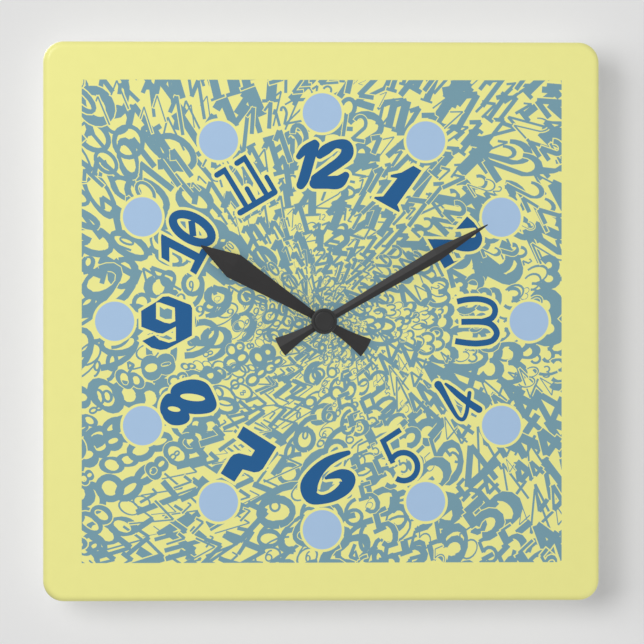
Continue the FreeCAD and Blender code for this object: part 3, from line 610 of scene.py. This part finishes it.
# ---------------------------------------------------------------- the printed sheet

def tile_faces(low, shapes, hole):
    """Triangles of one square tile as (corner points, colour); later shapes cover earlier ones."""
    high = (min(low[0] + TILE_SIDE, PRINT_HALF), min(low[1] + TILE_SIDE, PRINT_HALF))
    square = [low, (high[0], low[1]), high, (low[0], high[1])]
    near = [(GROUND, square)]
    for colour, points, box in shapes:
        if box[0] < high[0] and box[2] > low[0] and box[1] < high[1] and box[3] > low[1]:
            near.append((colour, points))
    near.append((None, hole))
    corners, outlines = [], []
    for colour, points in near:
        outlines.append(list(range(len(corners), len(corners) + len(points))))
        corners += [Vector(p) for p in points]
    cut = delaunay_2d_cdt(corners, [], outlines, INSIDE_OUTLINES, CUT_PRECISION)
    points, triangles, sources = cut[0], cut[2], cut[5]
    tile = bmesh.new()
    vertices = [tile.verts.new((point.x, 0.0, point.y)) for point in points]
    for triangle, covers in zip(triangles, sources):
        colour = near[max(covers)][0] if 0 in covers else None
        if colour is not None:
            tile.faces.new([vertices[i] for i in triangle]).material_index = colour
    return merged(tile, low, high)


def merged(tile, low, high):
    """Join neighbouring triangles of one colour, and cut the result into as few triangles as it needs.

    Points on the tile's border stay, so that neighbouring tiles share them.
    """
    tile.normal_update()
    inner = [v for v in tile.verts if all(a + WELD < c < b - WELD for a, c, b in zip(low, v.co.xz, high))]
    bmesh.ops.dissolve_limit(tile, angle_limit=math.radians(FLAT_ANGLE), verts=inner, edges=tile.edges,
                             delimit={"MATERIAL"})
    bmesh.ops.triangulate(tile, faces=tile.faces)
    faces = [([tuple(v.co.xz) for v in face.verts], face.material_index) for face in tile.faces]
    tile.free()
    return faces


def print_faces():
    """Triangles of the whole print, tile by tile, with the collage under the numerals and dots."""
    drawn = collage()
    for hour in NUMERALS:
        drawn += numeral(hour)
    shapes = []
    for colour, points in drawn + dots():
        points = counter_clockwise(points)
        xs, zs = [x for x, z in points], [z for x, z in points]
        shapes.append((colour, points, (min(xs), min(zs), max(xs), max(zs))))
    hole = ellipse((0.0, 0.0), (HOLE_RADIUS, HOLE_RADIUS))
    count = math.ceil(2 * PRINT_HALF / TILE_SIDE)
    faces = []
    for column in range(count):
        for row in range(count):
            low = (column * TILE_SIDE - PRINT_HALF, row * TILE_SIDE - PRINT_HALF)
            faces += tile_faces(low, shapes, hole)
    return faces


def printed_dial(materials):
    """Closed sheet on the plate's front; each printed colour is a region of its own."""
    sheet = bmesh.new()
    for points, colour in print_faces():
        corners = [sheet.verts.new((SHAFT.x + x * MM, PRINT_LOW.y, SHAFT.z + z * MM)) for x, z in points]
        sheet.faces.new(corners).material_index = colour
    bmesh.ops.remove_doubles(sheet, verts=sheet.verts, dist=WELD * MM)
    border = [edge for edge in sheet.edges if edge.is_boundary]
    sides = bmesh.ops.extrude_edge_only(sheet, edges=border)["geom"]
    for vertex in [g for g in sides if isinstance(g, bmesh.types.BMVert)]:
        vertex.co.y = PRINT_HIGH.y
    bmesh.ops.triangle_fill(sheet, edges=[g for g in sides if isinstance(g, bmesh.types.BMEdge)],
                            use_dissolve=False, normal=(0, 1, 0))
    bmesh.ops.recalc_face_normals(sheet, faces=sheet.faces)
    mesh = bpy.data.meshes.new("printed_dial")
    for material in materials:
        mesh.materials.append(material)
    sheet.to_mesh(mesh)
    sheet.free()
    piece = bpy.data.objects.new("printed_dial", mesh)
    bpy.context.scene.collection.objects.link(piece)
    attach(piece, "clock")
    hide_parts("dial_print")
    return piece


# ---------------------------------------------------------------- hub cap

def cap_profile(radius, thickness):
    """Half section of the cap from its bore out to its stepped front: (radius, depth behind the front)."""
    step = CAP_STEP_DEPTH
    face = radius * CAP_FACE_SHARE
    floor = step + CAP_GROOVE
    roof = thickness - CAP_BORE_DEPTH
    rounding = (CAP_ROUND, CAP_ROUND)
    points = [(0.0, roof), (CAP_BORE, roof), (CAP_BORE, thickness), (radius, thickness)]
    points += arc((radius - CAP_ROUND, step + CAP_ROUND), rounding, 0, -90, CAP_ROUND_STEPS)
    points += [(face + CAP_GROOVE, step), (face + CAP_GROOVE, floor), (face, floor)]
    points += arc((face - CAP_ROUND, CAP_ROUND), rounding, 0, -90, CAP_ROUND_STEPS)
    return points + [(face * CAP_DISH_BEND[0], CAP_DISH * CAP_DISH_BEND[1]), (0.0, CAP_DISH)]


def stepped_cap(material):
    """Turned hub cap with a raised face inside a round shoulder, in the place of the plain CAD cap."""
    low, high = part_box("hub_cap")
    profile = cap_profile((high.x - low.x) / 2 / MM, (high.y - low.y) / MM)
    cap = bmesh.new()
    rings = []
    for radius, depth in profile:
        y = low.y + depth * MM
        count = CAP_STEPS if radius else 1
        ring_points = ellipse((0.0, 0.0), (radius, radius), steps=count) if radius else [(0.0, 0.0)]
        rings.append([cap.verts.new((SHAFT.x + x * MM, y, SHAFT.z + z * MM)) for x, z in ring_points])
    for inner, outer in zip(rings, rings[1:]):
        for i in range(CAP_STEPS):
            j = (i + 1) % CAP_STEPS
            near_side = [inner[i % len(inner)], inner[j % len(inner)]]
            far_side = [outer[j % len(outer)], outer[i % len(outer)]]
            cap.faces.new(dict.fromkeys(near_side + far_side))
    bmesh.ops.recalc_face_normals(cap, faces=cap.faces)
    mesh = bpy.data.meshes.new("turned_cap")
    cap.to_mesh(mesh)
    cap.free()
    mesh.shade_smooth()
    mesh.set_sharp_from_angle(angle=math.radians(CAP_SMOOTH_ANGLE))
    mesh.materials.append(material)
    piece = bpy.data.objects.new("turned_cap", mesh)
    bpy.context.scene.collection.objects.link(piece)
    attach(piece, "minute_train")
    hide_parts("hub_cap")
    return piece


# ---------------------------------------------------------------- materials

def linear(red, green, blue):
    """Scene colour of an sRGB colour given from 0 to 255."""
    channels = [value / 255 for value in (red, green, blue)]
    return tuple(c / 12.92 if c <= 0.04045 else ((c + 0.055) / 1.055) ** 2.4 for c in channels) + (1.0,)


class Surface:
    """A Principled material with object coordinates and a few ways to add detail."""

    def __init__(self, name, colour, roughness, **sockets):
        self.material = bpy.data.materials.new(name)
        self.material.use_nodes = True
        self.nodes = self.material.node_tree.nodes
        self.links = self.material.node_tree.links
        self.shader = self.nodes["Principled BSDF"]
        self.shader.inputs["Base Color"].default_value = colour
        self.shader.inputs["Roughness"].default_value = roughness
        for socket, value in sockets.items():
            self.shader.inputs[socket.replace("_", " ")].default_value = value
        self.place = self.nodes.new("ShaderNodeTexCoord").outputs["Object"]
        self.colour = colour
        self.roughness = roughness
        self.height = None

    def stretched(self, scale):
        """Object coordinates scaled per axis, for grain that runs one way."""
        mapping = self.nodes.new("ShaderNodeMapping")
        mapping.inputs["Scale"].default_value = scale
        self.links.new(self.place, mapping.inputs["Vector"])
        return mapping.outputs["Vector"]

    def noise(self, scale, detail=3.0, place=None):
        """Cloudy pattern from 0 to 1."""
        node = self.nodes.new("ShaderNodeTexNoise")
        node.inputs["Scale"].default_value = scale
        node.inputs["Detail"].default_value = detail
        self.links.new(place or self.place, node.inputs["Vector"])
        return node.outputs["Fac"]

    def cells(self, scale):
        """Pattern of small pits: the distance to the nearest of many scattered points."""
        node = self.nodes.new("ShaderNodeTexVoronoi")
        node.inputs["Scale"].default_value = scale
        self.links.new(self.place, node.inputs["Vector"])
        return node.outputs["Distance"]

    def waves(self, scale, direction, distortion=0.0):
        """Bands across one axis, from 0 to 1."""
        node = self.nodes.new("ShaderNodeTexWave")
        node.bands_direction = direction
        node.inputs["Scale"].default_value = scale
        node.inputs["Distortion"].default_value = distortion
        self.links.new(self.place, node.inputs["Vector"])
        return node.outputs["Fac"]

    def along(self, axis, start, end):
        """Share from 0 to 1 of the way from start to end along one object axis, in metres."""
        axes = self.nodes.new("ShaderNodeSeparateXYZ")
        node = self.nodes.new("ShaderNodeMapRange")
        node.inputs["From Min"].default_value = start
        node.inputs["From Max"].default_value = end
        self.links.new(self.place, axes.inputs["Vector"])
        self.links.new(axes.outputs[axis], node.inputs["Value"])
        return node.outputs["Result"]

    def remap(self, value, low, high):
        """Value from 0 to 1 brought to the range from low to high."""
        node = self.nodes.new("ShaderNodeMapRange")
        node.inputs["To Min"].default_value = low
        node.inputs["To Max"].default_value = high
        self.links.new(value, node.inputs["Value"])
        return node.outputs["Result"]

    def paint(self, colour):
        """Drive the base colour by a node's output."""
        self.links.new(colour, self.shader.inputs["Base Color"])

    def vary_colour(self, value, dark, light):
        """Mix the base colour between a darker and a lighter share of itself."""
        mix = self.nodes.new("ShaderNodeMix")
        mix.data_type = "RGBA"
        mix.inputs["A"].default_value = tuple(c * dark for c in self.colour[:3]) + (1.0,)
        mix.inputs["B"].default_value = tuple(min(1.0, c * light) for c in self.colour[:3]) + (1.0,)
        self.links.new(value, mix.inputs["Factor"])
        self.paint(mix.outputs["Result"])

    def vary_roughness(self, value, amount):
        """Let the roughness move by an amount to both sides."""
        rough = self.remap(value, self.roughness - amount, self.roughness + amount)
        self.links.new(rough, self.shader.inputs["Roughness"])

    def bump(self, value, distance, strength=1.0):
        """Add a height in metres on top of any earlier bump."""
        node = self.nodes.new("ShaderNodeBump")
        node.inputs["Strength"].default_value = strength
        node.inputs["Distance"].default_value = distance
        self.links.new(value, node.inputs["Height"])
        if self.height is not None:
            self.links.new(self.height, node.inputs["Normal"])
        self.height = node.outputs["Normal"]
        self.links.new(self.height, self.shader.inputs["Normal"])
        return self


def printed_surface(name, colour):
    """Finish of everything printed: small changes of gloss and very low relief under a smooth coat."""
    film = Surface(name, colour, PRINT_ROUGHNESS, **PRINT_COAT)
    film.vary_roughness(film.noise(420.0), amount=0.06)
    return film.bump(film.noise(900.0, detail=2.0), distance=0.00001, strength=0.25)


def printed_ink(name, colour):
    """Ink of one even colour with faint mottle."""
    ink = printed_surface(name, colour)
    ink.vary_colour(ink.noise(140.0, detail=4.0), *PRINT_MOTTLE)
    return ink.material


def moulded_plastic(name, colour, roughness, grain=2600.0, depth=0.00006):
    """Spark-eroded moulding: fine even grain, faint flow marks and small changes of gloss."""
    plastic = Surface(name, colour, roughness, Specular_IOR_Level=0.45)
    plastic.vary_colour(plastic.noise(70.0, detail=5.0), dark=0.86, light=1.18)
    plastic.vary_roughness(plastic.noise(260.0), amount=0.08)
    plastic.bump(plastic.cells(grain), distance=depth, strength=0.5)
    return plastic.bump(plastic.noise(180.0), distance=0.00005, strength=0.3).material


def satin_paint(name, colour):
    """Paint of the hands and their cap: satin film with very fine grain and light handling marks."""
    paint = Surface(name, colour, roughness=0.4, Specular_IOR_Level=0.42)
    paint.vary_colour(paint.noise(90.0, detail=6.0), dark=0.9, light=1.14)
    paint.vary_roughness(paint.noise(500.0, detail=6.0), amount=0.07)
    return paint.bump(paint.noise(3500.0), distance=0.00002, strength=0.5).material


def turned_metal(name, colour, roughness, scale):
    """Metal with fine tool marks that run across one axis."""
    metal = Surface(name, colour, roughness, Metallic=1.0)
    grain = metal.noise(900.0, detail=4.0, place=metal.stretched(scale))
    metal.vary_colour(grain, dark=0.88, light=1.08)
    metal.vary_roughness(metal.noise(240.0, detail=5.0), amount=0.08)
    return metal.bump(grain, distance=0.00003, strength=0.5).material


def wound_wire(name, colour):
    """Enamelled wire in close turns round the upright coil: painted shade between, painted highlight on
    crests.
    """
    wire = Surface(name, colour, roughness=0.32, Metallic=0.8, Coat_Weight=0.4)
    turns = wire.waves(650.0, "Z", distortion=1.2)
    # Painted shade in the grooves between the turns and a painted highlight on their crests
    wire.vary_colour(turns, dark=0.55, light=1.15)
    wire.vary_roughness(wire.noise(700.0), amount=0.08)
    return wire.bump(turns, distance=0.00008, strength=0.8).material


def solder_mask(name, colour):
    """Green board: glossy film over paler copper tracks."""
    board = Surface(name, colour, roughness=0.3, Coat_Weight=0.5, Coat_Roughness=0.1)
    tracks = board.waves(180.0, "X", distortion=3.0)
    board.vary_colour(tracks, dark=0.8, light=1.35)
    return board.bump(tracks, distance=0.00003, strength=0.5).material


def rubber(name, colour):
    """Matt rubber with a dusty bloom."""
    skin = Surface(name, colour, roughness=0.78)
    skin.vary_colour(skin.noise(160.0, detail=6.0), dark=0.8, light=1.7)
    skin.vary_roughness(skin.noise(800.0), amount=0.08)
    return skin.bump(skin.cells(3200.0), distance=0.00005, strength=0.6).material


def battery_wrap(name, body, band_colour):
    """Printed foil wrap in two plain tones that meet at one place along X."""
    wrap = Surface(name, body, roughness=0.3, Metallic=0.35, Coat_Weight=0.6, Coat_Roughness=0.08)
    tone = wrap.nodes.new("ShaderNodeMix")
    tone.data_type = "RGBA"
    tone.inputs["A"].default_value = body
    tone.inputs["B"].default_value = band_colour
    wrap.links.new(wrap.along("X", WRAP_SPLIT, WRAP_SPLIT + WRAP_EDGE), tone.inputs["Factor"])
    wrap.paint(tone.outputs["Result"])
    wrap.vary_roughness(wrap.noise(320.0, detail=5.0), amount=0.07)
    return wrap.bump(wrap.noise(500.0), distance=0.00004, strength=0.4).material


def printed_acrylic(name):
    """Acrylic sheet printed on front and rounded rim, white behind; paler edge is clear tint and painted
    highlight.
    """
    sheet = printed_surface(name, linear(*INKS["print_yellow"]))
    plate_low, plate_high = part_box("face_plate")
    bands = sheet.nodes.new("ShaderNodeValToRGB")
    sheet.links.new(sheet.along("Y", plate_low.y, plate_high.y), bands.inputs["Fac"])
    ramp = bands.color_ramp.elements
    # The pale band through the edge is partly clear acrylic and partly a painted highlight along the rim
    for position, colour in ACRYLIC_BANDS:
        ramp.new(position).color = linear(*colour)
    ramp.remove(ramp[0])
    ramp.remove(ramp[-1])
    mottle = sheet.nodes.new("ShaderNodeMix")
    mottle.data_type = "RGBA"
    mottle.blend_type = "MULTIPLY"
    mottle.inputs["Factor"].default_value = 1.0
    sheet.links.new(bands.outputs["Color"], mottle.inputs["A"])
    sheet.links.new(sheet.remap(sheet.noise(140.0, detail=4.0), *PRINT_MOTTLE), mottle.inputs["B"])
    sheet.paint(mottle.outputs["Result"])
    return sheet.material


def paint_nodes():
    """Give every CAD node the material of its slot in the record; return the materials by slot."""
    # For each slot: the function that makes it, its colour, and what else that function takes
    recipes = {
        "black_rubber": (rubber, (34, 34, 35)),
        "brass": (turned_metal, (214, 178, 98), 0.26, (1.0, 12.0, 1.0)),
        "case_plastic": (moulded_plastic, (50, 50, 52), 0.45),
        "cover_plastic": (moulded_plastic, (56, 56, 59), 0.55, 2200.0, 0.00008),
        "white_plastic": (moulded_plastic, (232, 229, 220), 0.42, 3600.0, 0.00002),
        "soft_iron": (turned_metal, (176, 176, 180), 0.38, (1.0, 1.0, 9.0)),
        "bobbin_plastic": (moulded_plastic, (70, 70, 74), 0.5),
        "copper_wire": (wound_wire, (196, 112, 62)),
        "board": (solder_mask, (38, 104, 58)),
        "resin": (moulded_plastic, (22, 22, 23), 0.2, 900.0, 0.00004),
        "crystal_can": (turned_metal, (205, 205, 210), 0.3, (14.0, 1.0, 1.0)),
        "contact_steel": (turned_metal, (206, 204, 198), 0.22, (1.0, 9.0, 1.0)),
        "hand_plastic": (satin_paint, (38, 37, 37)),
        "hub_plastic": (satin_paint, (42, 42, 42)),
        "knob_plastic": (moulded_plastic, (48, 48, 50), 0.45, 3000.0, 0.00004),
        "arbor_steel": (turned_metal, (190, 190, 194), 0.24, (1.0, 10.0, 1.0)),
        "magnet": (moulded_plastic, (74, 74, 78), 0.6, 1800.0, 0.00006),
        "battery_steel": (turned_metal, (208, 208, 210), 0.25, (9.0, 1.0, 1.0)),
        "battery_wrap": (battery_wrap, (52, 96, 122), linear(206, 208, 210)),
    }
    materials = {slot: make(slot, linear(*colour), *finish)
                 for slot, (make, colour, *finish) in recipes.items()}
    materials["yellow_acrylic"] = printed_acrylic("yellow_acrylic")
    materials["printed_dial"] = materials["yellow_acrylic"]
    for part in frame["record"]["subparts"]:
        data = frame["nodes"][part["node"]].data
        data.materials.clear()
        data.materials.append(materials[part["material_slot"]])
    return materials


# ---------------------------------------------------------------- stage, light and camera

def wall_material():
    """Pale matt wall that is clear from behind, so that the clock's back can be seen."""
    wall = Surface("pale_wall", linear(*WALL_COLOUR), roughness=0.9)
    wall.vary_colour(wall.noise(6.0), dark=0.995, light=1.0)
    wall.bump(wall.noise(900.0), distance=0.00005, strength=0.3)
    side = wall.nodes.new("ShaderNodeNewGeometry")
    clear = wall.nodes.new("ShaderNodeBsdfTransparent")
    mix = wall.nodes.new("ShaderNodeMixShader")
    output = wall.nodes["Material Output"]
    wall.links.new(side.outputs["Backfacing"], mix.inputs["Fac"])
    wall.links.new(wall.shader.outputs["BSDF"], mix.inputs[1])
    wall.links.new(clear.outputs["BSDF"], mix.inputs[2])
    wall.links.new(mix.outputs["Shader"], output.inputs["Surface"])
    return wall.material


def stage_sheet(name, corners, material):
    """Flat sheet of the stage, which is no part of the clock."""
    mesh = bpy.data.meshes.new(name)
    mesh.from_pydata(corners, [], [range(len(corners))])
    mesh.materials.append(material)
    sheet = bpy.data.objects.new(name, mesh)
    bpy.context.scene.collection.objects.link(sheet)
    return sheet


def build_stage():
    """Wall just behind the clock and a floor below it, which throw no shadow or light on the clock."""
    pale = wall_material()
    reach, floor = STAGE_REACH, FLOOR_HEIGHT
    sides = ((-reach, floor), (reach, floor), (reach, reach), (-reach, reach))
    wall = stage_sheet("wall", [(x, WALL_GAP, z) for x, z in sides], pale)
    corners = ((-reach, -reach), (reach, -reach), (reach, reach), (-reach, reach))
    ground = stage_sheet("floor", [(x, y, floor) for x, y in corners], pale)
    for sheet in (wall, ground):
        sheet.visible_diffuse = False
        sheet.visible_shadow = False
    return [wall, ground]


def area_light(name, position, size, watts, lit, shadows=True):
    """Square soft light aimed at the hands' shaft; it lights only the given objects."""
    data = bpy.data.lights.new(name, "AREA")
    data.shape = "SQUARE"
    data.size = size
    data.energy = watts
    data.use_shadow = shadows
    lamp = bpy.data.objects.new(name, data)
    lamp.location = position
    aim = SHAFT - Vector(position)
    lamp.rotation_euler = aim.to_track_quat("-Z", "Y").to_euler()
    lamp.visible_camera = False
    bpy.context.scene.collection.objects.link(lamp)
    receivers = bpy.data.collections.new(name + "_receivers")
    for item in lit:
        receivers.objects.link(item)
    lamp.light_linking.receiver_collection = receivers


def build_light(stage, clock):
    """Two keys on the wall for the clock's soft shadow; front, rim and rear lights on the clock alone."""
    area_light("wide_key", **WIDE_KEY, lit=stage)
    area_light("soft_key", **SOFT_KEY, lit=stage)
    area_light("front", **FRONT, lit=clock, shadows=False)
    area_light("rim", **RIM, lit=clock)
    area_light("back_fill", **BACK_FILL, lit=clock)
    world = bpy.data.worlds.new("studio")
    world.use_nodes = True
    background = world.node_tree.nodes["Background"]
    background.inputs["Color"].default_value = (WORLD_GREY, WORLD_GREY, WORLD_GREY, 1.0)
    background.inputs["Strength"].default_value = WORLD_STRENGTH
    bpy.context.scene.world = world
    bpy.context.scene.view_settings.view_transform = "Standard"


def build_camera():
    """Camera that frames the dial from a little to the left."""
    data = bpy.data.cameras.new("camera")
    data.sensor_width = SENSOR
    data.lens = SENSOR * CAMERA_DISTANCE / (FRAME_WIDTH * MM)
    data.clip_end = 3 * CAMERA_DISTANCE
    camera = bpy.data.objects.new("camera", data)
    target = Vector((SHAFT.x + CAMERA_AIM[0] * MM, PRINT_LOW.y, SHAFT.z + CAMERA_AIM[1] * MM))
    angle = math.radians(CAMERA_AZIMUTH)
    offset = Vector((math.sin(angle), -math.cos(angle), 0.0)) * CAMERA_DISTANCE
    camera.location = target + offset
    camera.rotation_euler = (-offset).to_track_quat("-Z", "Y").to_euler()
    bpy.context.scene.collection.objects.link(camera)
    bpy.context.scene.camera = camera


# ---------------------------------------------------------------- build

inks = [printed_ink(name, linear(*colour)) for name, colour in INKS.items()]
materials = paint_nodes()
made = [printed_dial(inks), stepped_cap(materials["hub_plastic"])]
build_light(build_stage(), [*frame["nodes"].values(), *made])
build_camera()
